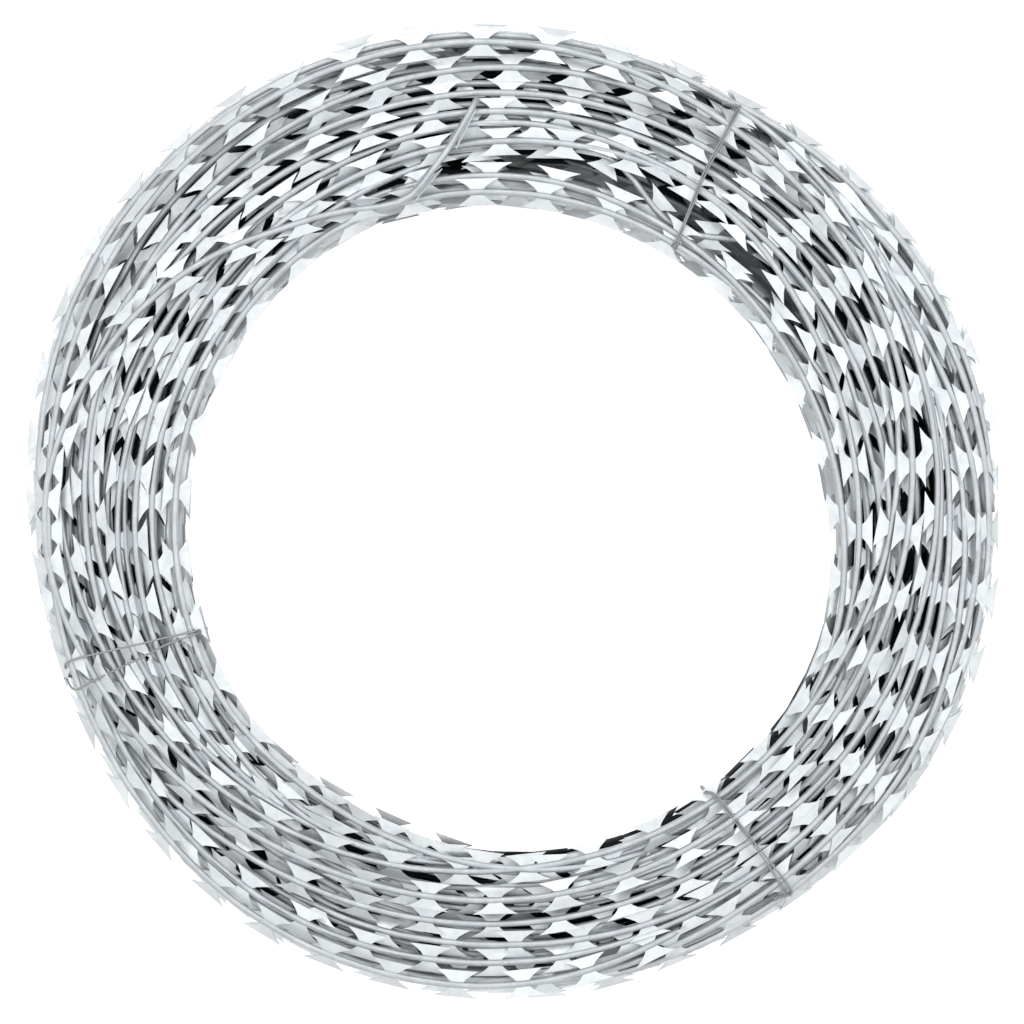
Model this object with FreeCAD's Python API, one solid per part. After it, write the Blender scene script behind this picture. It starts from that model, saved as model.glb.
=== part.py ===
import FreeCAD, Part
import math
import os

from FreeCAD import Vector

# A coil of short-barb razor wire lies flat, with its axis along Z and its centre at the origin.
# Barbed steel strip is crimped round a spring-steel core wire and wound into layers of turns.
# The turns show as ridges on the upper end and round the side, and three tie wires hold them.
# All sizes are in millimetres.

# The wire and its barbs
core_diameter = 2.5
strip_thickness = 0.5
barb_span = 15.0
barb_length = 22.0
barb_neck = 7.0
barb_pitch = 34.0

# The winding
inner_turn_radius = 172.5
row_pitch = 11.5
row_count = 7
layer_pitch = 11.0
layer_count = 5
valley_depth = 6.0
groove_depth = 5.0
row_drop = 0.8

# The hollow where the two innermost rows part, with its angles in degrees
hollow_start = 30.0
hollow_sweep = 65.0
hollow_width = 10.0
hollow_depth = 25.0

# The free end of the wire, which rises from the innermost turn and crosses the inner rows.
# Its route is pairs of an angle in degrees and a distance out from that turn.
tail_route = [(113, 0.0), (108, -5.0), (103.5, 6.5), (94.9, 37.8)]
tail_barb_places = [0.35, 0.9]
tail_bite = 0.2

# The tie wires and their angles round the coil, in degrees from the X axis
tie_diameter = 1.2
tie_clearance = 0.3
tie_angles = {
    "tie_wire_upper_right": 59.5,
    "tie_wire_left": 200.7,
    "tie_wire_lower_right": 305.5,
}
twist_length = 11.0
twist_diameter = 2.4

# Worked out from the sizes above
tape_width = core_diameter + 2 * strip_thickness
outer_turn_radius = inner_turn_radius + (row_count - 1) * row_pitch
inner_wall = inner_turn_radius - core_diameter / 2
outer_wall = outer_turn_radius + core_diameter / 2
coil_height = layer_count * layer_pitch
plate_top = coil_height + strip_thickness / 2
golden_ratio = (math.sqrt(5) - 1) / 2


def row_radius(row):
    return inner_turn_radius + row * row_pitch


def crest_height(row):
    """Every second row lies a little lower, under the barbs of its neighbours."""
    return coil_height - row_drop * (row % 2)


def layer_height(layer):
    return (layer + 0.5) * layer_pitch


def wound_body():
    """The packed turns, turned about the axis.

    A ridge stands for each layer round the side, and for each row on the upper end.
    """
    profile = [(inner_wall, 0), (outer_wall - groove_depth, 0)]
    for layer in range(layer_count):
        profile.append((outer_wall, layer_height(layer)))
        profile.append((outer_wall - groove_depth, layer_height(layer) + layer_pitch / 2))
    profile.pop()
    for row in reversed(range(row_count)):
        profile.append((row_radius(row), crest_height(row)))
        if row > 0:
            profile.append((row_radius(row) - row_pitch / 2, coil_height - valley_depth))
    profile.append((inner_wall, coil_height - valley_depth))
    points = [Vector(radius, 0, height) for radius, height in profile]
    outline = Part.makePolygon(points + points[:1])
    return Part.Face(outline).revolve(Vector(0, 0, 0), Vector(0, 0, 1), 360)


def hollow():
    """The open crescent between the two innermost rows, which goes deep into the coil."""
    floor = Vector(0, 0, coil_height - hollow_depth)
    up = Vector(0, 0, 1)
    middle = (row_radius(0) + row_radius(1)) / 2
    outer_side = middle + hollow_width / 2
    inner_side = middle - hollow_width / 2
    sector = Part.makeCylinder(outer_side, hollow_depth, floor, up, hollow_sweep)
    crescent = sector.cut(Part.makeCylinder(inner_side, hollow_depth, floor, up))
    crescent.rotate(Vector(0, 0, 0), up, hollow_start)
    return crescent


def cluster_angles(radius, turn):
    """Where the barb clusters of a turn stand, a pitch apart.

    The golden ratio shifts each turn against the others, so that they don't line up.
    """
    count = round(2 * math.pi * radius / barb_pitch)
    shift = (turn * golden_ratio) % 1
    return [(index + shift) * 360 / count for index in range(count)]


def meets_tie(angle, radius):
    """Whether a cluster at this angle would stand where a tie passes the rim."""
    reach = math.degrees((barb_length / 2 + tie_diameter) / radius)
    return any(abs((angle - tie + 180) % 360 - 180) < reach for tie in tie_angles.values())


def toothed_outline(radius, side, turn, at_rim):
    """The edge of the strip on one side of a turn, side being 1 outwards and -1 inwards.

    At each cluster it flares from the neck to the two points of a barb. At the rim the barbs
    that a tie would cross are pressed flat, and left off.
    """
    edge = radius + side * tape_width / 2
    tip = radius + side * barb_span / 2
    neck = [(edge, -barb_neck / 2), (edge, barb_neck / 2)]
    barb = [neck[0], (tip, -barb_length / 2), (tip, barb_length / 2), neck[1]]
    points = []
    for angle in cluster_angles(radius, turn):
        flat = at_rim and meets_tie(angle, radius)
        turned = FreeCAD.Rotation(Vector(0, 0, 1), angle)
        for along, across in neck if flat else barb:
            points.append(turned.multVec(Vector(along, across, 0)))
    return Part.makePolygon(points + points[:1])


def end_turn(row):
    """The strip of a turn on the upper end, with barbs on both sides."""
    radius = row_radius(row)
    outside = toothed_outline(radius, 1, row, row == row_count - 1)
    inside = toothed_outline(radius, -1, row, row == 0)
    face = Part.makeFace([outside, inside], "Part::FaceMakerBullseye")
    strip = face.extrude(Vector(0, 0, strip_thickness))
    strip.translate(Vector(0, 0, crest_height(row) - strip_thickness / 2))
    return strip


def side_turn(layer):
    """The outer edge of the strip in a lower layer, with the barbs that stand out of the side."""
    outline = toothed_outline(outer_turn_radius, 1, row_count + layer, True)
    root = Part.Wire(Part.makeCircle(outer_turn_radius))
    face = Part.makeFace([outline, root], "Part::FaceMakerBullseye")
    strip = face.extrude(Vector(0, 0, strip_thickness))
    strip.translate(Vector(0, 0, layer_height(layer) - strip_thickness / 2))
    return strip


def hexagon(centre, direction, diameter):
    """A six-sided section of a round wire, square to its run."""
    circle = Part.Circle(centre, direction, diameter / 2)
    corners = [circle.value(index * math.pi / 3) for index in range(6)]
    return Part.makePolygon(corners + corners[:1])


def bent_wire(points, diameter):
    """A wire that follows the points with a sharp bend at each."""
    path = Part.makePolygon(points)
    section = hexagon(points[0], points[1] - points[0], diameter)
    return path.makePipeShell([section], True, False, 1)


def standing_barb(centre, along):
    """The half of a cluster that stands up from the wire, its plate upright."""
    up = Vector(0, 0, 1)
    side = along.cross(up)
    foot = centre - side * (strip_thickness / 2)
    corners = [
        foot - along * (barb_neck / 2),
        foot - along * (barb_length / 2) + up * (barb_span / 2),
        foot + along * (barb_length / 2) + up * (barb_span / 2),
        foot + along * (barb_neck / 2),
    ]
    outline = Part.makePolygon(corners + corners[:1])
    return Part.Face(outline).extrude(side * strip_thickness)


def free_tail():
    """The free end of the tape, laid over the rows, with its barbs on edge."""
    height = plate_top + tape_width / 2 - tail_bite
    points = []
    for angle, outwards in tail_route:
        turned = FreeCAD.Rotation(Vector(0, 0, 1), angle)
        points.append(turned.multVec(Vector(inner_turn_radius + outwards, 0, height)))
    points[0].z = coil_height - tape_width / 2
    tail = bent_wire(points, tape_width)
    run = points[-1] - points[-2]
    along = Vector(run).normalize()
    barbs = [standing_barb(points[-2] + run * place, along) for place in tail_barb_places]
    return tail.fuse(barbs)


def tie_bed(angle):
    """The slot under the coil where a tie draws the lowest turns up."""
    width = tie_diameter + 2 * tie_clearance
    length = outer_wall - inner_wall + 2 * tie_diameter
    bed = Part.makeBox(length, width, width, Vector(inner_wall - tie_diameter, -width / 2, 0))
    bed.rotate(Vector(0, 0, 0), Vector(0, 0, 1), angle)
    return bed


def build_coil():
    turns = [end_turn(row) for row in range(0, row_count, 2)]
    turns += [side_turn(layer) for layer in range(0, layer_count - 1, 2)]
    coil = wound_body().cut([tie_bed(angle) for angle in tie_angles.values()] + [hollow()])
    coil = coil.fuse(turns + [free_tail()])
    return coil.removeSplitter()


def build_tie(angle):
    """One loop of tie wire round the section of the coil, closed by a twist near the outer rim."""
    stand_off = tie_clearance + tie_diameter / 2
    inner = inner_wall - stand_off
    outer = outer_wall + stand_off
    low = stand_off
    high = plate_top + tie_clearance + twist_diameter / 2
    start = Vector(outer - twist_length, 0, high)
    loop = [
        start,
        Vector(outer, 0, high),
        Vector(outer, 0, low),
        Vector(inner, 0, low),
        Vector(inner, 0, high),
        start,
    ]
    twist_end = Vector(outer - tie_diameter, 0, high)
    twist = bent_wire([start, twist_end], twist_diameter)
    tie = bent_wire(loop, tie_diameter).fuse(twist)
    tie.rotate(Vector(0, 0, 0), Vector(0, 0, 1), angle)
    return tie


def save(shape, name):
    shape.exportStep("parts/" + name + ".step")
    print(name, len(shape.Solids), "solid", round(shape.Volume), "mm3", shape.isValid())


os.makedirs("parts", exist_ok=True)
save(build_coil(), "razor_wire_coil")
for tie_name, tie_angle in tie_angles.items():
    save(build_tie(tie_angle), tie_name)
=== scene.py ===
import math
import random

import bpy
from bpy.props import FloatProperty, FloatVectorProperty, IntProperty, PointerProperty
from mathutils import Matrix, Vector, noise


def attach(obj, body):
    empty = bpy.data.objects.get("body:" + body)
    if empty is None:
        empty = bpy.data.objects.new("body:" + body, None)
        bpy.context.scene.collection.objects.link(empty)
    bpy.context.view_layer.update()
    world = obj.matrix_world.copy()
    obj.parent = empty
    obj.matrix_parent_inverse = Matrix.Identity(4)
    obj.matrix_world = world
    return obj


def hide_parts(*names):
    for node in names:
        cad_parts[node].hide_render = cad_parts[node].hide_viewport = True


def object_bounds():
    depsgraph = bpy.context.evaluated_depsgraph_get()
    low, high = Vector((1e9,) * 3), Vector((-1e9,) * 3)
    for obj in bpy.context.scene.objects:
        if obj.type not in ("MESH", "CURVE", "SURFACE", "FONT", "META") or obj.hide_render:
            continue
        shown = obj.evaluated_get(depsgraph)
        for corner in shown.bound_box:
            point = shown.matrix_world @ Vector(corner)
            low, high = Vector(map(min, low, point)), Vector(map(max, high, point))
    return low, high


# A coil of hot-dip galvanised short-barb razor tape lies flat on white ground. Three tie wires hold
# its turns, and its free end crosses them on top.

bl_info = {
    "name": "Razor Wire Coil",
    "version": (1, 0, 0),
    "blender": (4, 5, 0),
    "location": "View3D > Sidebar > Razor Coil",
    "description": "Winds, ties and lights a coil of galvanised razor tape",
    "category": "Add Mesh",
}

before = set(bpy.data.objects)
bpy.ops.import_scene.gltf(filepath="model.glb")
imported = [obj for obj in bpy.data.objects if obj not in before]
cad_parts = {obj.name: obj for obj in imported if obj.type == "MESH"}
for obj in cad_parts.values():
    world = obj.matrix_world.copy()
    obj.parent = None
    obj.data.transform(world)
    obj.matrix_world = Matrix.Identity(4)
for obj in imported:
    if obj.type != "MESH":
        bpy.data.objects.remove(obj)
cad_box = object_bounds()

MM = 0.001
COIL_NODE = "razor_wire_coil"
UP = Vector((0, 0, 1))

# The turns that show on the upper end, traced: the height of the wire's centre, the angle
# at which the turn comes up from below, and its radii every 30 degrees from there, in millimetres.
TRACE_STEP = 30
TRACES = [
    (55.5, 120, [177.5, 214, 238, 223, 206, 197.5, 193, 194.5, 203, 214.5, 225.5, 239, 244, 241, 236.5,
                 239, 244, 241, 227]),
    (52.0, 150, [243, 231, 213, 196, 182.5, 179.5, 182.5, 195, 210.5, 210.5, 214, 218, 224, 230]),
    (51.0, 210, [231, 218, 210, 207, 211, 217, 223.5, 236, 243, 250, 249, 241, 233]),
    (51.5, 60, [224, 227, 227.5, 223.5, 218, 215]),
    (49.0, 180, [228, 232, 235, 230, 224, 221]),
    (50.5, 240, [226, 221, 222, 221, 219, 224, 231]),
    (48.5, 270, [243, 240.5, 239, 231, 225, 220]),
    (50.0, 270, [242, 234, 229.5, 223.5, 228, 238]),
    (49.5, 330, [246, 243.5, 237, 226]),
    (49.5, 0, [246, 243, 238, 232]),
    (50.5, 330, [240, 238, 226, 219]),
    (51.5, 0, [197, 199.5, 201, 204.5, 208, 214.5, 220]),
    (50.5, 330, [195, 193, 190, 191, 199, 198, 201.5, 210.5]),
    (51.5, 330, [183, 177, 179, 190, 189.5, 189, 189.5, 192.5, 194, 190]),
    (49.5, 90, [186, 179.5, 176, 180]),
    (50.5, 300, [181, 180, 168.5, 163, 165, 171.5, 176]),
    (50.0, 120, [185, 182.5, 184, 184.5, 188, 180]),
    (51.0, 30, [163, 160, 163, 169.5, 170.5, 172, 176, 176, 182, 188]),
    (50.5, 150, [222, 214, 201.5, 189, 177]),
    (49.5, 150, [196, 201.5, 204, 208]),
]

# The free end, from its tip to where the topmost turn begins: angle, radius, height and how far
# the tape is turned on its edge, in degrees
FREE_END = [
    (94.8, 211.5, 56.2, 70),
    (97.6, 197, 56.8, 58),
    (99.9, 188, 56.8, 54),
    (103.4, 178, 56.8, 60),
    (106.3, 171, 56.6, 60),
    (108.8, 168.3, 56.2, 50),
    (113.2, 169.3, 55.8, 38),
    (119, 175.5, 55.5, 20),
]

# The tie wires. Each lies in two strands over the turns, traced from the rim to the eye:
# radius, angle and half of the gap between the strands, in millimetres and degrees. Its ends are
# twisted at a knot: radius, angle and how far it hangs below the tight wire, and the way that they
# point: along the turns, out, up.
TIES = [
    ("tie_wire_upper_right",
     [(237, 60.7, 0.5), (225, 60.6, 0.55), (198, 60.4, 0.6), (178, 59.5, 0.5), (167, 58.9, 0.4),
      (158, 58.5, 1.1)],
     (237, 60.7, 0), (0.8, -0.25, 0.1)),
    ("tie_wire_left",
     [(241, 200.5, 7.8), (233, 200.3, 7), (211, 200.4, 4.4), (200, 200.5, 3.2), (190, 200.4, 1.8),
      (170, 200.9, 0.6)],
     (243, 200.4, 6), (0.15, 0.1, -1)),
    ("tie_wire_lower_right",
     [(241.5, 306.1, 1.5), (230, 306.15, 1.4), (220, 306.2, 0.7), (200, 306, 0.6), (181, 305.75, 0.6),
      (176, 305.5, 0.6), (173.5, 304.6, 0.6)],
     (241.5, 306.1, 0), (-0.7, -0.3, 0.05)),
]

# The coil isn't quite round: how far its turns bulge outwards at the eye and at the rim, every 30
# degrees, in millimetres. The ties draw it in.
EYE_BULGE = [-0.5, -7.5, -8.5, -7.5, -1.5, -0.5, 1.5, 4.5, 6.5, 9.5, 9.5, 7.5]
RIM_BULGE = [1.5, 2, -3.5, 0.5, 9, 8, 0.5, -3, 3, 0.5, -1.5, 4]

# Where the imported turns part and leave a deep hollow: angle, half of its length in degrees, the
# radius of its middle and how far the turns are pushed aside
HOLLOWS = [(62, 40, 179, 10), (245, 25, 184, 6), (178, 30, 192, 5)]

# The soft boxes: where each hangs, how wide it is, in metres, and its power in watts
SOFT_BOXES = [
    ("upper_soft_box", (0.0, 2.1, 2.7), 1.5, 34),
    ("lower_soft_box", (0.0, -2.1, 2.7), 1.4, 11),
    ("left_soft_box", (-2.1, 0.2, 2.7), 1.4, 22),
    ("right_soft_box", (2.1, 0.2, 2.7), 1.4, 23),
]


def from_hex(text):
    """A colour written as sRGB hex, as the linear numbers that a shader takes."""
    channels = [int(text[place:place + 2], 16) / 255 for place in (1, 3, 5)]
    return tuple(c / 12.92 if c <= 0.04045 else ((c + 0.055) / 1.055) ** 2.4 for c in channels)


class TapeSizes(bpy.types.PropertyGroup):
    """The barbed tape as it comes from the mill."""

    core_diameter: FloatProperty(
        name="Core wire", description="Diameter of the spring-steel core wire",
        default=2.5 * MM, unit="LENGTH")
    strip_thickness: FloatProperty(
        name="Strip", description="Thickness of the galvanised strip", default=0.5 * MM, unit="LENGTH")
    barb_pitch: FloatProperty(
        name="Barb pitch", description="Distance from one barb cluster to the next",
        default=34 * MM, unit="LENGTH")
    barb_length: FloatProperty(
        name="Barb length", description="From point to point along the wire", default=22 * MM, unit="LENGTH")
    barb_span: FloatProperty(
        name="Barb span", description="Across the wire, over both barbs", default=14 * MM, unit="LENGTH")
    barb_neck: FloatProperty(
        name="Barb neck", description="Width of a barb where it leaves the wire",
        default=7 * MM, unit="LENGTH")
    flare: FloatProperty(
        name="Flare", description="How late a barb widens towards its points", default=1.35, min=1, max=4)
    outward_slope: FloatProperty(
        name="Outward slope", description="Slope of the barbs that face the rim", default=-0.3, min=-1, max=1)
    inward_slope: FloatProperty(
        name="Inward slope", description="Slope of the barbs that face the eye", default=-0.03, min=-1, max=1)
    bend: FloatProperty(
        name="Barb bend", description="How far handling has bent a barb", default=0.17, min=0, max=1)
    twist: FloatProperty(
        name="Twist", description="Usual twist of the tape about its wire",
        default=math.radians(14), unit="ROTATION")


class TieSizes(bpy.types.PropertyGroup):
    """The soft wires that hold the turns together."""

    diameter: FloatProperty(
        name="Diameter", description="Diameter of the tie wire", default=1.05 * MM, unit="LENGTH")
    clearance: FloatProperty(
        name="Clearance", description="Room between a tie and the turns that it passes over",
        default=0.9 * MM, unit="LENGTH")
    under: FloatProperty(
        name="Under", description="Height at which a tie passes under the turns",
        default=0.7 * MM, unit="LENGTH")
    stand_off: FloatProperty(
        name="Stand-off", description="How far outside the outermost wire a tie goes down the rim",
        default=3 * MM, unit="LENGTH")
    bend: FloatProperty(
        name="Bend", description="Length over which a tie turns a corner", default=5 * MM, unit="LENGTH")
    twist_length: FloatProperty(
        name="Twist length", description="Length of the twisted ends", default=9 * MM, unit="LENGTH")
    twist_turns: IntProperty(
        name="Twist turns", description="Turns in the twisted ends", default=3, min=1, max=8)


class CoilSizes(bpy.types.PropertyGroup):
    """How the tape is wound."""

    inner_radius: FloatProperty(
        name="Inner turn", description="Mean radius of the innermost turns",
        default=172.5 * MM, unit="LENGTH")
    outer_radius: FloatProperty(
        name="Outer turn", description="Mean radius of the outermost turns", default=241 * MM, unit="LENGTH")
    layers: IntProperty(
        name="Layers", description="Layers of packed turns under the upper ones", default=4, min=1, max=12)
    rows: IntProperty(
        name="Rows", description="Turns side by side in a packed layer", default=8, min=1, max=20)
    lowest: FloatProperty(
        name="Lowest wire", description="Height of the lowest wire's centre", default=2.4 * MM, unit="LENGTH")
    highest: FloatProperty(
        name="Highest packed wire", description="Height of the highest packed layer",
        default=44 * MM, unit="LENGTH")
    rim_turns: IntProperty(
        name="Rim turns", description="Turns that climb the outer side", default=9, min=0, max=20)
    eye_turns: IntProperty(
        name="Eye turns", description="Turns that climb the side of the eye", default=4, min=0, max=20)
    wander: FloatProperty(
        name="Wander", description="How far a turn wanders from its place",
        default=3.5 * MM, unit="LENGTH")
    rim_lean: FloatProperty(
        name="Rim lean",
        description="How far the tape at the rim leans outwards, so that its barbs hang down",
        default=math.radians(5), unit="ROTATION")
    side_inset: FloatProperty(
        name="Side inset", description="How far the turns that climb a side lie behind the outermost ones",
        default=1.6 * MM, unit="LENGTH")
    side_wander: FloatProperty(
        name="Side wander", description="How far a turn at the eye or the rim wanders in or out",
        default=1.8 * MM, unit="LENGTH")


class Finishes(bpy.types.PropertyGroup):
    """Colours of the metals and the ground."""

    zinc: FloatVectorProperty(
        name="Zinc", description="Hot-dip galvanised strip",
        default=from_hex("#d6dadc"), subtype="COLOR", size=3)
    zinc_dull: FloatVectorProperty(
        name="Dull zinc", description="Zinc that has weathered",
        default=from_hex("#c6cacd"), subtype="COLOR", size=3)
    # Painted shade: the tube's colour is a darker copy of the strip's, standing for the shading of the round
    # tube.
    zinc_tube_painted_shade: FloatVectorProperty(
        name="Tube painted shade", description="Darker copy of the strip, painted shade on the crimped tube",
        default=from_hex("#b6babd"), subtype="COLOR", size=3)
    # Painted shade: a near-black colour laid deep between the turns, where shade falls.
    zinc_painted_gap_shade: FloatVectorProperty(
        name="Painted gap shade", description="Near-black painted shade, deep between the turns",
        default=from_hex("#202325"), subtype="COLOR", size=3)
    tie: FloatVectorProperty(
        name="Tie wire", description="Galvanised tie wire",
        default=from_hex("#94979a"), subtype="COLOR", size=3)
    ground: FloatVectorProperty(
        name="Ground", description="White ground", default=from_hex("#fbfbfb"), subtype="COLOR", size=3)


def add_node(tree, kind, settings=None, links=None):
    """Adds a node with its settings, a name or a socket's name to a value, and its links to sockets."""
    node = tree.nodes.new(kind)
    for name, value in (settings or {}).items():
        if name in node.inputs:
            node.inputs[name].default_value = value
        else:
            setattr(node, name, value)
    for name, source in (links or {}).items():
        tree.links.new(source, node.inputs[name])
    return node


def new_material(name):
    material = bpy.data.materials.new(name)
    material.use_nodes = True
    material.node_tree.nodes.clear()
    return material, material.node_tree


def fade(tree, value, start, end, first, last):
    """A value that eases from the first to the last while another goes from the start to the end."""
    easing = add_node(
        tree, "ShaderNodeMapRange",
        {"interpolation_type": "SMOOTHSTEP",
         "From Min": start, "From Max": end, "To Min": first, "To Max": last},
        {"Value": value})
    return easing.outputs["Result"]


def times(tree, first, second):
    product = add_node(tree, "ShaderNodeMath", {"operation": "MULTIPLY"}, {0: first, 1: second})
    return product.outputs["Value"]


def painted_gap_shade_mask(tree, place):
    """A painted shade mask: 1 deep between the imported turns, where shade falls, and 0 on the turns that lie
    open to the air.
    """
    parts = add_node(tree, "ShaderNodeSeparateXYZ", {}, {"Vector": place})
    flat = add_node(tree, "ShaderNodeVectorMath", {"operation": "MULTIPLY"}, {0: place})
    flat.inputs[1].default_value = (1, 1, 0)
    out = add_node(tree, "ShaderNodeVectorMath", {"operation": "LENGTH"}, {0: flat.outputs["Vector"]})
    radius = out.outputs["Value"]
    under_top = fade(tree, parts.outputs["Z"], 33 * MM, 48 * MM, 1, 0)
    over_ground = fade(tree, parts.outputs["Z"], 4 * MM, 10 * MM, 0, 1)
    behind_eye = fade(tree, radius, 168 * MM, 178 * MM, 0, 1)
    behind_rim = fade(tree, radius, 232 * MM, 242 * MM, 1, 0)
    return times(tree, times(tree, under_top, over_ground), times(tree, behind_eye, behind_rim))


def zinc_coat(name, finish, bright):
    """Hot-dip zinc with faint spangle. It dulls in patches, and is painted near-black as shade deep between
    the turns.
    """
    material, tree = new_material(name)
    place = add_node(tree, "ShaderNodeTexCoord").outputs["Object"]
    spangle = add_node(tree, "ShaderNodeTexVoronoi", {"Scale": 1 / (2.5 * MM)}, {"Vector": place})
    weather = add_node(
        tree, "ShaderNodeTexNoise", {"Scale": 1 / (14 * MM), "Detail": 5, "Roughness": 0.6},
        {"Vector": place})
    patches = add_node(
        tree, "ShaderNodeMapRange", {"From Min": 0.42, "From Max": 0.72}, {"Value": weather.outputs["Fac"]})
    fresh = add_node(tree, "ShaderNodeMix", {"data_type": "RGBA"}, {"Factor": patches.outputs["Result"]})
    fresh.inputs[6].default_value = (*bright, 1)
    fresh.inputs[7].default_value = (*finish.zinc_dull, 1)
    # Painted shade: the colour goes near-black deep between the turns.
    colour = add_node(
        tree, "ShaderNodeMix", {"data_type": "RGBA"},
        {"Factor": painted_gap_shade_mask(tree, place), 6: fresh.outputs[2]})
    colour.inputs[7].default_value = (*finish.zinc_painted_gap_shade, 1)
    roughness = add_node(
        tree, "ShaderNodeMapRange", {"To Min": 0.54, "To Max": 0.68}, {"Value": spangle.outputs["Color"]})
    grain = add_node(tree, "ShaderNodeTexNoise", {"Scale": 1 / (0.9 * MM), "Detail": 3}, {"Vector": place})
    bump = add_node(
        tree, "ShaderNodeBump", {"Strength": 0.25, "Distance": 0.15 * MM}, {"Height": grain.outputs["Fac"]})
    metal = add_node(
        tree, "ShaderNodeBsdfPrincipled", {"Metallic": 1.0},
        {"Base Color": colour.outputs[2], "Roughness": roughness.outputs["Result"],
         "Normal": bump.outputs["Normal"]})
    add_node(tree, "ShaderNodeOutputMaterial", {}, {"Surface": metal.outputs["BSDF"]})
    return material


def galvanised_strip(finish):
    """The flat barbs: bright galvanised strip, which gives the eye white plates."""
    return zinc_coat("hot_dip_galvanised_strip", finish, finish.zinc)


def crimped_strip_painted_shade(finish):
    """The tube of strip round the core wire, in a darker copy of the strip's colour: painted shade for the
    round tube.
    """
    return zinc_coat("galvanised_strip_tube_painted_shade", finish, finish.zinc_tube_painted_shade)


def galvanised_tie_wire(finish):
    """Soft galvanised tie wire: drawn steel with a thin, slightly uneven skin of zinc."""
    material, tree = new_material("galvanised_tie_wire")
    place = add_node(tree, "ShaderNodeTexCoord")
    skin = add_node(
        tree, "ShaderNodeTexNoise", {"Scale": 1 / (1.5 * MM), "Detail": 4},
        {"Vector": place.outputs["Object"]})
    roughness = add_node(
        tree, "ShaderNodeMapRange", {"To Min": 0.35, "To Max": 0.6}, {"Value": skin.outputs["Fac"]})
    bump = add_node(
        tree, "ShaderNodeBump", {"Strength": 0.3, "Distance": 0.1 * MM}, {"Height": skin.outputs["Fac"]})
    metal = add_node(
        tree, "ShaderNodeBsdfPrincipled", {"Metallic": 1.0, "Base Color": (*finish.tie, 1)},
        {"Roughness": roughness.outputs["Result"], "Normal": bump.outputs["Normal"]})
    add_node(tree, "ShaderNodeOutputMaterial", {}, {"Surface": metal.outputs["BSDF"]})
    return material


def white_ground(finish):
    """Matt white paper, dark under the coil. It shows white to the eye and in metal, and lights nothing."""
    own_glow = 0.8
    dark = (0.05, 0.05, 0.05, 1)
    material, tree = new_material("matt_white_ground")
    paper = add_node(tree, "ShaderNodeBsdfDiffuse", {"Color": (*finish.ground, 1)})
    bare = add_node(tree, "ShaderNodeAttribute", {"attribute_name": "bare"})
    strength = add_node(tree, "ShaderNodeMath", {"operation": "MULTIPLY"}, {0: bare.outputs["Fac"]})
    strength.inputs[1].default_value = own_glow
    glow = add_node(
        tree, "ShaderNodeEmission", {"Color": (1, 1, 1, 1)}, {"Strength": strength.outputs["Value"]})
    seen = add_node(tree, "ShaderNodeAddShader", {}, {0: paper.outputs["BSDF"], 1: glow.outputs["Emission"]})
    unseen = add_node(tree, "ShaderNodeBsdfDiffuse", {"Color": dark})
    both = add_node(
        tree, "ShaderNodeMixShader", {},
        {0: background_rays(tree), 1: unseen.outputs["BSDF"], 2: seen.outputs["Shader"]})
    add_node(tree, "ShaderNodeOutputMaterial", {}, {"Surface": both.outputs["Shader"]})
    return material


def background_rays(tree):
    """A mask that is 1 for what the camera sees, straight or in metal and glass, and 0 for the light."""
    path = add_node(tree, "ShaderNodeLightPath")
    mirrored = add_node(
        tree, "ShaderNodeMath", {"operation": "MAXIMUM"},
        {0: path.outputs["Is Glossy Ray"], 1: path.outputs["Is Transmission Ray"]})
    either = add_node(
        tree, "ShaderNodeMath", {"operation": "MAXIMUM"},
        {0: path.outputs["Is Camera Ray"], 1: mirrored.outputs["Value"]})
    return either.outputs["Value"]


materials_made = {}


def shared_material(maker):
    """The one material that a function makes, made the first time that a piece asks for it."""
    key = maker.__name__
    if key not in materials_made:
        materials_made[key] = maker(bpy.context.scene.coil_finishes)
    return materials_made[key]


def round_coil(radius, angle, height):
    """The point at a radius and an angle in degrees round the coil, at a height."""
    turned = math.radians(angle)
    return Vector((radius * math.cos(turned), radius * math.sin(turned), height))


def along_turns(angle):
    """The way that the turns run at an angle in degrees, seen from above."""
    return round_coil(1, angle + 90, 0)


def activate(piece):
    """Makes a piece the only one that is selected."""
    bpy.ops.object.select_all(action="DESELECT")
    piece.select_set(True)
    bpy.context.view_layer.objects.active = piece


def apply_modifiers(piece):
    activate(piece)
    for modifier in list(piece.modifiers):
        bpy.ops.object.modifier_apply(modifier=modifier.name)


def select_where(piece, test):
    """Selects the vertices of a piece in edit mode that a test picks by their place."""
    bpy.ops.mesh.select_all(action="DESELECT")
    bpy.ops.object.mode_set(mode="OBJECT")
    for vertex in piece.data.vertices:
        vertex.select = test(vertex.co)
    bpy.ops.object.mode_set(mode="EDIT")


def model_crimped_tube(tape):
    """A pitch of the strip, closed round its core wire."""
    radius = tape.core_diameter / 2 + tape.strip_thickness
    bpy.ops.object.select_all(action="DESELECT")
    bpy.ops.mesh.primitive_cylinder_add(
        vertices=8, radius=radius, depth=tape.barb_pitch, end_fill_type="NOTHING",
        location=(tape.barb_pitch / 2, 0, 0), rotation=(0, math.pi / 2, 0))
    bpy.ops.object.transform_apply()
    tube = bpy.context.active_object
    bpy.ops.object.mode_set(mode="EDIT")
    for part in (0.25, 0.5, 0.75):
        bpy.ops.mesh.select_all(action="SELECT")
        bpy.ops.mesh.bisect(plane_co=(tape.barb_pitch * part, 0, 0), plane_no=(1, 0, 0))
    bpy.ops.object.mode_set(mode="OBJECT")
    return tube


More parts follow.
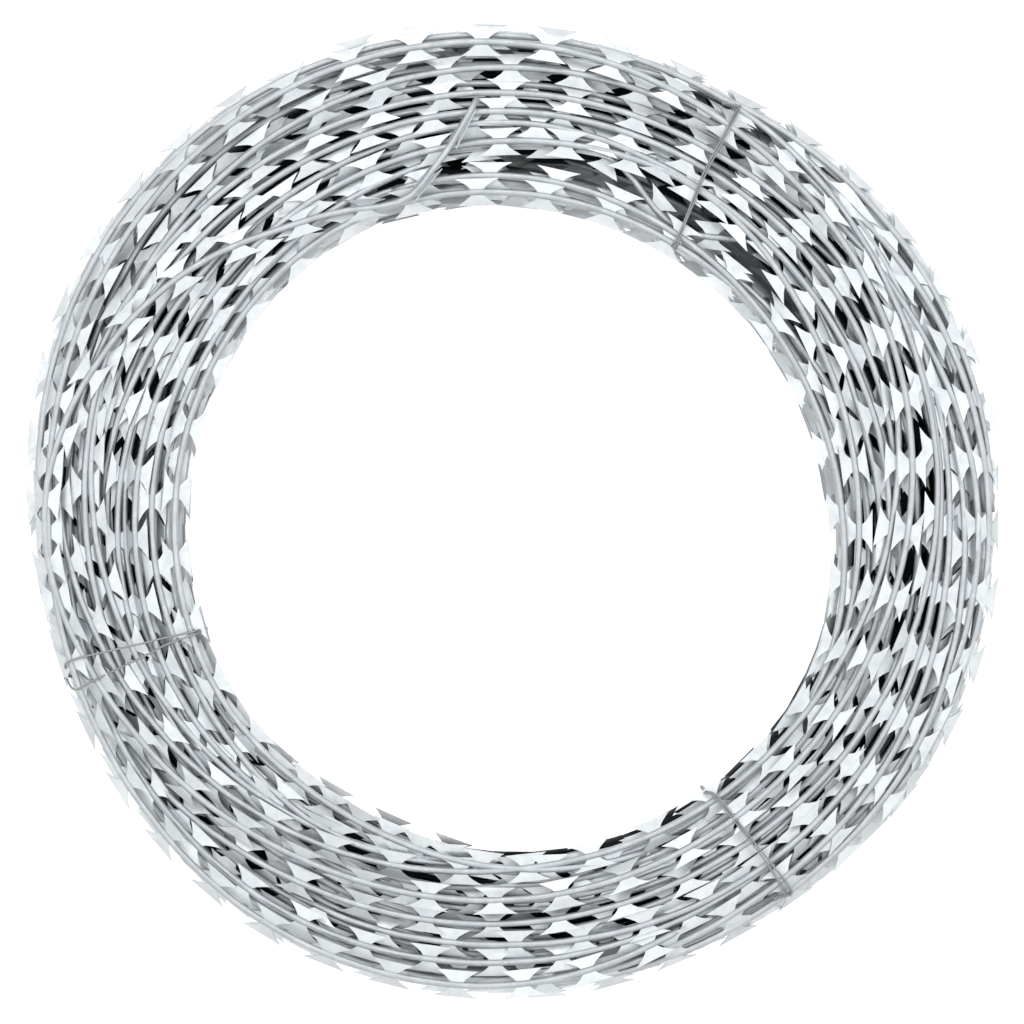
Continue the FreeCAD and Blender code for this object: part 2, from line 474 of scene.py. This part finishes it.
def model_barb_pair(tape):
    """The flat barbs of a cluster: drawn out from the neck and flared to needle points, then mirrored."""
    middle = tape.barb_pitch / 2
    root = tape.core_diameter / 2 + tape.strip_thickness
    bpy.ops.object.select_all(action="DESELECT")
    bpy.ops.mesh.primitive_plane_add(size=1, location=(middle, 0.5 * root, 0))
    bpy.ops.transform.resize(value=(tape.barb_neck, root, 1))
    bpy.ops.object.transform_apply()
    barbs = bpy.context.active_object
    bpy.ops.object.mode_set(mode="EDIT")
    bpy.ops.mesh.select_mode(type="VERT")
    reach, half = root, tape.barb_neck / 2
    for part in (0.3, 0.55, 0.78, 1.0):
        next_reach = root + (tape.barb_span / 2 - root) * part
        next_half = tape.barb_neck / 2 + (tape.barb_length - tape.barb_neck) / 2 * part ** tape.flare
        select_where(barbs, lambda place: place.y > reach - 0.1 * MM)
        bpy.ops.mesh.extrude_region_move(TRANSFORM_OT_translate={"value": (0, next_reach - reach, 0)})
        bpy.ops.transform.resize(value=(next_half / half, 1, 1), center_override=(middle, 0, 0))
        reach, half = next_reach, next_half
    bpy.ops.object.mode_set(mode="OBJECT")
    mirror = barbs.modifiers.new("other side", "MIRROR")
    mirror.use_axis = (False, True, False)
    solid = barbs.modifiers.new("strip", "SOLIDIFY")
    solid.thickness = tape.strip_thickness
    solid.offset = 0
    apply_modifiers(barbs)
    return barbs


def model_pitch(tape):
    """One pitch of tape, lying along X, that every turn is made of."""
    tube = model_crimped_tube(tape)
    barbs = model_barb_pair(tape)
    tube.data.materials.append(shared_material(crimped_strip_painted_shade))
    barbs.data.materials.append(shared_material(galvanised_strip))
    activate(tube)
    barbs.select_set(True)
    bpy.ops.object.join()
    bpy.ops.object.mode_set(mode="EDIT")
    bpy.ops.mesh.select_all(action="SELECT")
    bpy.ops.mesh.normals_make_consistent(inside=False)
    bpy.ops.object.mode_set(mode="OBJECT")
    bpy.ops.object.shade_smooth_by_angle(angle=math.radians(50))
    tube.name = "tape_pitch"
    return tube


def bend_barbs(piece, tape, chance):
    """Bends each barb up or down a little, as handling has, while the tape still lies straight."""
    root = tape.core_diameter / 2 + tape.strip_thickness
    slopes = {}
    for vertex in piece.data.vertices:
        out = abs(vertex.co.y) - root
        if out < 0.1 * MM:
            continue
        barb = (int(vertex.co.x / tape.barb_pitch), vertex.co.y > 0)
        if barb not in slopes:
            usual = tape.inward_slope if vertex.co.y > 0 else tape.outward_slope
            slopes[barb] = chance.gauss(usual, tape.bend)
        vertex.co.z += out * slopes[barb]


def draw_path(name, places, tilts):
    """A smooth curve through the places, that the tape is bent along."""
    curve = bpy.data.curves.new(name, "CURVE")
    curve.dimensions = "3D"
    curve.twist_mode = "Z_UP"
    curve.resolution_u = 6
    spline = curve.splines.new("BEZIER")
    spline.bezier_points.add(len(places) - 1)
    for knot, place, tilt in zip(spline.bezier_points, places, tilts):
        knot.co = place
        knot.tilt = tilt
        knot.handle_left_type = "AUTO"
        knot.handle_right_type = "AUTO"
    path = bpy.data.objects.new(name, curve)
    bpy.context.scene.collection.objects.link(path)
    return path


def lay_tape(name, pitch, places, tilts, chance):
    """Tape of as many pitches as the path is long, bent along it and closed at its ends."""
    tape = bpy.context.scene.tape_sizes
    path = draw_path(name + "_path", places, tilts)
    length = path.data.splines[0].calc_length()
    if length < tape.barb_pitch:
        raise ValueError(name + " is shorter than one pitch of the tape")
    piece = bpy.data.objects.new(name, pitch.data.copy())
    bpy.context.scene.collection.objects.link(piece)
    repeat = piece.modifiers.new("pitches", "ARRAY")
    repeat.count = int(length / tape.barb_pitch)
    repeat.use_relative_offset = False
    repeat.use_constant_offset = True
    repeat.constant_offset_displace = (tape.barb_pitch, 0, 0)
    repeat.use_merge_vertices = True
    repeat.merge_threshold = 0.01 * MM
    apply_modifiers(piece)
    bend_barbs(piece, tape, chance)
    follow = piece.modifiers.new("turn", "CURVE")
    follow.object = path
    apply_modifiers(piece)
    close_ends(piece)
    press_into_box(piece)
    bpy.data.objects.remove(path)
    return piece


def rounded(corners, bend):
    """Places along straight runs whose corners are rounded off, each over a bend's length at most."""
    steps, most = 4, 0.45
    places = [corners[0]]
    for before, corner, after in zip(corners, corners[1:], corners[2:]):
        start = corner.lerp(before, min(most, bend / (before - corner).length))
        end = corner.lerp(after, min(most, bend / (after - corner).length))
        for step in range(steps + 1):
            part = step / steps
            places.append(start.lerp(corner, part).lerp(corner.lerp(end, part), part))
    return places + [corners[-1]]


def draw_wire(name, places, diameter, material):
    """A round wire through the places, as a mesh with closed ends."""
    path = draw_path(name, places, [0] * len(places))
    path.data.twist_mode = "MINIMUM"
    path.data.resolution_u = 1
    for knot in path.data.splines[0].bezier_points:
        knot.handle_left_type = "VECTOR"
        knot.handle_right_type = "VECTOR"
    path.data.bevel_depth = diameter / 2
    path.data.bevel_resolution = 2
    path.data.use_fill_caps = True
    activate(path)
    bpy.ops.object.convert(target="MESH")
    piece = bpy.context.active_object
    bpy.ops.object.shade_smooth_by_angle(angle=math.radians(60))
    piece.data.materials.append(material)
    press_into_box(piece)
    return piece


def soft_stop(value, low, high):
    """Holds a value between two limits, easing it in over the last part so that nothing is squashed flat."""
    ease = 0.6 * MM
    if value < low + ease:
        return low + ease * math.exp((value - low - ease) / ease)
    if value > high - ease:
        return high - ease * math.exp((high - ease - value) / ease)
    return value


def press_into_box(piece):
    """Presses the barbs that would dig into the ground, or stand out too far, flat against the coil."""
    lower, upper = cad_box
    for vertex in piece.data.vertices:
        vertex.co = [soft_stop(value, low, high) for value, low, high in zip(vertex.co, lower, upper)]


def close_ends(piece):
    """Closes the open ends of the tube."""
    activate(piece)
    bpy.ops.object.mode_set(mode="EDIT")
    bpy.ops.mesh.select_all(action="DESELECT")
    bpy.ops.mesh.select_non_manifold()
    bpy.ops.mesh.fill_holes(sides=0)
    bpy.ops.object.mode_set(mode="OBJECT")


def join_part(piece, slot, *nodes):
    """Puts a finished piece on the part, in the place of the nodes that it shows."""
    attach(piece, "root")
    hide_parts(*nodes)


def parted(angle, radius):
    """A radius pushed away from any hollow that the angle comes near."""
    spread = 14 * MM
    for hollow_angle, reach, middle, width in HOLLOWS:
        off = (angle - hollow_angle + 180) % 360 - 180
        near = max(0, 1 - (off / reach) ** 2)
        gap = radius - middle * MM
        push = width * MM * near * math.exp(-(gap / spread) ** 2)
        radius += push if gap > 0 else -push
    return radius


def bulge_at(bulges, angle):
    """How far the coil bulges at an angle, between the places where that was traced."""
    place = (angle % 360) / TRACE_STEP
    near = int(place)
    count = len(bulges)
    around = [bulges[(near + step) % count] for step in (-1, 0, 1, 2)]
    return smooth_between(around, 1, place - near) * MM


def eye_radius(angle):
    return bpy.context.scene.coil_sizes.inner_radius + bulge_at(EYE_BULGE, angle)


def rim_radius(angle):
    return bpy.context.scene.coil_sizes.outer_radius + bulge_at(RIM_BULGE, angle)


def lean(angle, radius):
    """How far the tape leans outwards: not at all, until it comes near the rim."""
    reach = 12 * MM
    near = min(1, max(0, (radius - rim_radius(angle)) / reach + 1))
    return bpy.context.scene.coil_sizes.rim_lean * near * near * (3 - 2 * near)


def wander(angle, turn, seed):
    """A smooth drift between -1 and 1 that changes along the tape and from turn to turn."""
    along, across, strength = 1.3, 0.8, 1.6
    place = round_coil(along, angle, across * turn + 10 * seed)
    return noise.noise(place) * strength


class RAZORCOIL_OT_packed_turns(bpy.types.Operator):
    """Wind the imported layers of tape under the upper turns, from the lowest layer up"""

    bl_idname = "razor_coil.packed_turns"
    bl_label = "Packed Turns"

    def execute(self, context):
        tape = context.scene.tape_sizes
        coil = context.scene.coil_sizes
        if coil.highest <= coil.lowest or coil.outer_radius <= coil.inner_radius:
            raise ValueError("The coil has no room between its lowest and highest or inner and outer turns")
        pitch = model_pitch(tape)
        for layer in range(coil.layers):
            chance = random.Random(100 + layer)
            places, tilts = self.layer_path(coil, tape, layer)
            piece = lay_tape(f"packed_layer_{layer + 1}", pitch, places, tilts, chance)
            join_part(piece, "galvanised_tape", COIL_NODE)
        for side, turns in enumerate((coil.eye_turns, coil.rim_turns)):
            chance = random.Random(150 + side)
            places, tilts = self.climbing_path(coil, tape, side, turns)
            piece = lay_tape(("eye_turns", "rim_turns")[side], pitch, places, tilts, chance)
            join_part(piece, "galvanised_tape", COIL_NODE)
        bpy.data.objects.remove(pitch)
        return {"FINISHED"}

    def climbing_path(self, coil, tape, side, turns):
        """A helix from the lowest layer to the highest, round the eye or round the outer side."""
        step = 15
        total = 360 * turns
        places, tilts = [], []
        for angle in range(0, total + 1, step):
            share = angle / total
            radius = self.turn_radius(angle, side) + (1 - 2 * side) * coil.side_inset
            radius += coil.side_wander * wander(2 * angle, 3 * angle / 360, 30 + side)
            height = coil.lowest + (coil.highest - coil.lowest) * share
            height = max(coil.lowest, height + coil.wander * wander(angle, angle / 360, 50 + side))
            places.append(round_coil(radius, angle, height))
            tilts.append(lean(angle, radius) + tape.twist * 2 * wander(2.2 * angle, angle / 360, 70 + side))
        return places, tilts

    def turn_radius(self, angle, share):
        """The radius of a turn that lies a share of the way from the eye to the rim."""
        inner = eye_radius(angle)
        return inner + share * (rim_radius(angle) - inner)

    def layer_path(self, coil, tape, layer):
        """A spiral that runs outwards in one layer and back inwards in the next."""
        step = 15
        places, tilts = [], []
        rise = (coil.highest - coil.lowest) / max(1, coil.layers - 1)
        climb = 0.15
        lies_on_ground = layer == 0
        steady_lift = 0.15 if lies_on_ground else 0.6
        steady_twist = 0.4 if lies_on_ground else 2
        total = 360 * coil.rows
        for angle in range(0, total + 1, step):
            share = angle / total if layer % 2 == 0 else 1 - angle / total
            turn = angle / 360
            radius = self.turn_radius(angle, share)
            radius += coil.wander * wander(angle, turn, layer) * min(1, 4 * share * (1 - share) + 0.25)
            if not lies_on_ground:
                radius = parted(angle, radius)
            height = coil.lowest + rise * (layer + angle / total * climb)
            height += steady_lift * coil.wander * wander(angle, turn, layer + 20)
            places.append(round_coil(radius, angle, max(height, coil.lowest)))
            twist = steady_twist * tape.twist * wander(2.2 * angle, turn, layer + 40)
            tilts.append(twist + (0 if lies_on_ground else lean(angle, radius)))
        return places, tilts


class RAZORCOIL_OT_upper_turns(bpy.types.Operator):
    """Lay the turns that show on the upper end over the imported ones"""

    bl_idname = "razor_coil.upper_turns"
    bl_label = "Upper Turns"

    def execute(self, context):
        tape = context.scene.tape_sizes
        pitch = model_pitch(tape)
        for index in range(len(TRACES)):
            chance = random.Random(200 + index)
            places, tilts = self.turn_path(tape, index)
            if index == 0:
                places, tilts = self.with_free_end(places, tilts)
            piece = lay_tape(f"upper_turn_{index + 1}", pitch, places, tilts, chance)
            join_part(piece, "galvanised_tape", COIL_NODE)
        bpy.data.objects.remove(pitch)
        return {"FINISHED"}

    def with_free_end(self, places, tilts):
        """The topmost turn begins with the free end, instead of coming up from below."""
        end_places = [round_coil(radius * MM, angle, height * MM) for angle, radius, height, edge in FREE_END]
        end_tilts = [math.radians(edge) for angle, radius, height, edge in FREE_END]
        return end_places + places[1:], end_tilts + tilts[1:]

    def turn_path(self, tape, index):
        """The traced turn in steps of 10 degrees, and how far the tape is twisted at each."""
        step, swing = 10, 2.2
        places, tilts = [], []
        for sweep in range(0, trace_sweep(index) + 1, step):
            radius, angle, height = turn_place(index, sweep)
            places.append(round_coil(radius, angle, height))
            twist = swing * tape.twist * wander(1.5 * angle, angle / 360, index + 80)
            tilts.append(lean(angle, radius) + twist)
        return places, tilts


def smooth_between(values, near, part):
    """A value between the near one and the next, on a curve that passes through all of them."""
    before = values[max(near - 1, 0)]
    first, second = values[near], values[near + 1]
    after = values[min(near + 2, len(values) - 1)]
    bend = 2 * before - 5 * first + 4 * second - after
    swing = -before + 3 * first - 3 * second + after
    return first + 0.5 * part * (second - before + part * (bend + part * swing))


def trace_sweep(index):
    """How many degrees a traced turn goes round."""
    radii = TRACES[index][2]
    return (len(radii) - 1) * TRACE_STEP


def turn_place(index, sweep):
    """The radius, angle and height of a traced turn's wire, so many degrees on from its start.

    Both of its ends dip under the other turns.
    """
    uneven, dip_depth = 1.2 * MM, 7 * MM
    height, start, radii = TRACES[index]
    angle = start + sweep
    near = min(int(sweep / TRACE_STEP), len(radii) - 2)
    radius = smooth_between(radii, near, sweep / TRACE_STEP - near) * MM
    dip = max(0, 1 - min(sweep, trace_sweep(index) - sweep) / TRACE_STEP) ** 2
    lift = uneven * wander(angle, angle / 360, index + 60)
    return radius, angle, height * MM + lift - dip_depth * dip


def turns_across(angle):
    """Where the traced turns cross an angle: the radius, angle and height of each wire's centre."""
    crossings = []
    for index, (height, start, radii) in enumerate(TRACES):
        sweep = (angle - start) % 360
        while sweep <= trace_sweep(index):
            crossings.append(turn_place(index, sweep))
            sweep += 360
    return crossings


def taut_height(crossings, radius):
    """How high a wire pulled tight over the centres of the turns passes at a radius."""
    radii = [crossing[0] for crossing in crossings]
    radius = min(max(radius, min(radii)), max(radii))
    heights = [height for place, angle, height in crossings if place == radius]
    for inner, angle, inner_height in crossings:
        for outer, angle, outer_height in crossings:
            if inner < radius < outer:
                share = (radius - inner) / (outer - inner)
                heights.append(inner_height + share * (outer_height - inner_height))
    return max(heights)


class RAZORCOIL_OT_tie_wires(bpy.types.Operator):
    """Pass the three tie wires round the turns and twist their ends together"""

    bl_idname = "razor_coil.tie_wires"
    bl_label = "Tie Wires"

    def execute(self, context):
        ties = context.scene.tie_sizes
        metal = shared_material(galvanised_tie_wire)
        for name, strands, knot, heading in TIES:
            tied = self.over_turns(ties, knot[0], knot[1]) - knot[2] * MM * UP
            wire = draw_wire(name + "_loop", self.wound_path(ties, strands, tied), ties.diameter, metal)
            join_part(wire, "tie_wire", name)
            for strand in (0, 1):
                end = self.twist_path(ties, tied, knot[1], heading, strand)
                twist = draw_wire(f"{name}_twist_{strand + 1}", end, ties.diameter, metal)
                join_part(twist, "tie_wire", name)
        return {"FINISHED"}

    def over_turns(self, ties, radius, angle):
        """The place where a tight tie passes over the turns at a radius in millimetres and an angle."""
        tape = bpy.context.scene.tape_sizes
        above = tape.core_diameter / 2 + tape.strip_thickness + ties.diameter / 2 + ties.clearance
        return round_coil(radius * MM, angle, taut_height(turns_across(angle), radius * MM) + above)

    def wound_path(self, ties, strands, tied):
        """Twice round the section of the coil, from the knot and back to it."""
        corners = [tied]
        for side in (1, -1):
            for radius, angle, half_gap in strands:
                place = self.over_turns(ties, radius, angle)
                corners.append(place + side * half_gap * MM * along_turns(angle))
            eye_radius, eye_angle, eye_gap = strands[-1]
            across = side * ties.diameter / 2 * along_turns(eye_angle)
            eye_foot = round_coil(eye_radius * MM, eye_angle, ties.under) + across
            rim_angle = strands[0][1]
            outside = rim_radius(rim_angle) + ties.stand_off
            foot = round_coil(outside, rim_angle, ties.under) + across
            rim = round_coil(outside, rim_angle, bpy.context.scene.coil_sizes.highest) + across
            corners += [eye_foot, foot, rim]
        return rounded(corners + [tied], ties.bend)

    def twist_path(self, ties, start, knot_angle, heading, strand):
        """One of the two ends, wound round the other beyond the knot."""
        steps = 8
        off_axis = 0.52 * ties.diameter
        ahead, outwards, upwards = heading
        outward = round_coil(1, knot_angle, 0)
        direction = (ahead * along_turns(knot_angle) + outwards * outward + upwards * UP).normalized()
        side = direction.orthogonal().normalized()
        other_side = direction.cross(side)
        places = []
        for step in range(steps * ties.twist_turns + 1):
            around = 2 * math.pi * step / steps + math.pi * strand
            along = ties.twist_length * step / (steps * ties.twist_turns)
            off_centre = side * math.cos(around) + other_side * math.sin(around)
            places.append(start + direction * along + off_centre * off_axis)
        return places


class RAZORCOIL_OT_stage(bpy.types.Operator):
    """Set the white ground, the soft light and the camera that looks straight down"""

    bl_idname = "razor_coil.stage"
    bl_label = "Stage"

    def execute(self, context):
        self.lay_ground(context)
        self.hang_lights(context)
        self.light_world(context)
        self.place_camera(context)
        return {"FINISHED"}

    def lay_ground(self, context):
        """Rings of ground that follow the coil. Their vertices hold 1 where it is bare, 0 under the coil."""
        step, soft, reach = 5, 4 * MM, 30
        corners, bareness = [Vector((0, 0, 0))], [1]
        for angle in range(0, 360, step):
            eye, rim = eye_radius(angle), rim_radius(angle)
            rings = ((eye - soft, 1), (eye + soft, 0), (rim - soft, 0), (rim + soft, 1), (reach, 1))
            for radius, bare in rings:
                corners.append(round_coil(radius, angle, 0))
                bareness.append(bare)
        count, across = 360 // step, len(rings)
        faces = []
        for near in range(count):
            here, there = 1 + near * across, 1 + (near + 1) % count * across
            faces.append((0, here, there))
            for ring in range(across - 1):
                faces.append((here + ring, here + ring + 1, there + ring + 1, there + ring))
        mesh = bpy.data.meshes.new("ground")
        mesh.from_pydata(corners, [], faces)
        mesh.attributes.new("bare", "FLOAT", "POINT").data.foreach_set("value", bareness)
        mesh.materials.append(shared_material(white_ground))
        ground = bpy.data.objects.new("ground", mesh)
        context.scene.collection.objects.link(ground)

    def hang_lights(self, context):
        """Four soft boxes round the camera, so that strip shines and deep gaps stay dark."""
        for name, place, size, power in SOFT_BOXES:
            lamp = bpy.data.lights.new(name, "AREA")
            lamp.shape = "DISK"
            lamp.size = size
            lamp.energy = power
            box = bpy.data.objects.new(name, lamp)
            box.location = place
            box.rotation_euler = box.location.to_track_quat("Z", "Y").to_euler()
            context.scene.collection.objects.link(box)

    def light_world(self, context):
        world = bpy.data.worlds.new("studio")
        world.use_nodes = True
        tree = world.node_tree
        tree.nodes.clear()
        place = add_node(tree, "ShaderNodeTexCoord")
        parts = add_node(tree, "ShaderNodeSeparateXYZ", {}, {"Vector": place.outputs["Generated"]})
        height = add_node(
            tree, "ShaderNodeMapRange", {"From Min": 0.1, "From Max": 0.7, "To Min": 0.0, "To Max": 0.05},
            {"Value": parts.outputs["Z"]})
        dim = add_node(
            tree, "ShaderNodeBackground", {"Color": (1, 1, 1, 1)}, {"Strength": height.outputs["Result"]})
        white = add_node(tree, "ShaderNodeBackground", {"Color": (1, 1, 1, 1), "Strength": 1.0})
        pick = add_node(
            tree, "ShaderNodeMixShader", {},
            {0: background_rays(tree), 1: dim.outputs["Background"], 2: white.outputs["Background"]})
        add_node(tree, "ShaderNodeOutputWorld", {}, {"Surface": pick.outputs["Shader"]})
        context.scene.world = world

    def place_camera(self, context):
        """Looks straight down the coil's axis. The coil fills as much of the picture as in the photograph."""
        lens = 150
        sensor = 36
        picture_pixels, coil_pixels = 1024, 978
        upper_turns = 55 * MM
        frame_width = (cad_box[1][0] - cad_box[0][0]) * picture_pixels / coil_pixels
        distance = frame_width * lens / sensor
        camera = bpy.data.cameras.new("camera")
        camera.lens = lens
        camera.sensor_width = sensor
        camera.clip_end = 100
        stand = bpy.data.objects.new("camera", camera)
        stand.location = (0, 0, upper_turns + distance)
        context.scene.collection.objects.link(stand)
        context.scene.camera = stand
        context.scene.view_settings.view_transform = "Standard"


class RAZORCOIL_PT_panel(bpy.types.Panel):
    """Lists the steps that build the coil"""

    bl_idname = "RAZORCOIL_PT_panel"
    bl_label = "Razor Coil"
    bl_space_type = "VIEW_3D"
    bl_region_type = "UI"
    bl_category = "Razor Coil"

    def draw(self, context):
        layout = self.layout
        for step in STEPS:
            layout.operator(step.bl_idname)


STEPS = (
    RAZORCOIL_OT_packed_turns,
    RAZORCOIL_OT_upper_turns,
    RAZORCOIL_OT_tie_wires,
    RAZORCOIL_OT_stage,
)
SETTINGS = {
    "tape_sizes": TapeSizes,
    "coil_sizes": CoilSizes,
    "tie_sizes": TieSizes,
    "coil_finishes": Finishes,
}


def register():
    for group in SETTINGS.values():
        bpy.utils.register_class(group)
    for name, group in SETTINGS.items():
        setattr(bpy.types.Scene, name, PointerProperty(type=group))
    for step in STEPS:
        bpy.utils.register_class(step)
    bpy.utils.register_class(RAZORCOIL_PT_panel)


def unregister():
    bpy.utils.unregister_class(RAZORCOIL_PT_panel)
    for step in reversed(STEPS):
        bpy.utils.unregister_class(step)
    for name in SETTINGS:
        delattr(bpy.types.Scene, name)
    for group in SETTINGS.values():
        bpy.utils.unregister_class(group)


def main():
    register()
    bpy.ops.razor_coil.packed_turns()
    bpy.ops.razor_coil.upper_turns()
    bpy.ops.razor_coil.tie_wires()
    bpy.ops.razor_coil.stage()


if __name__ == "__main__":
    main()
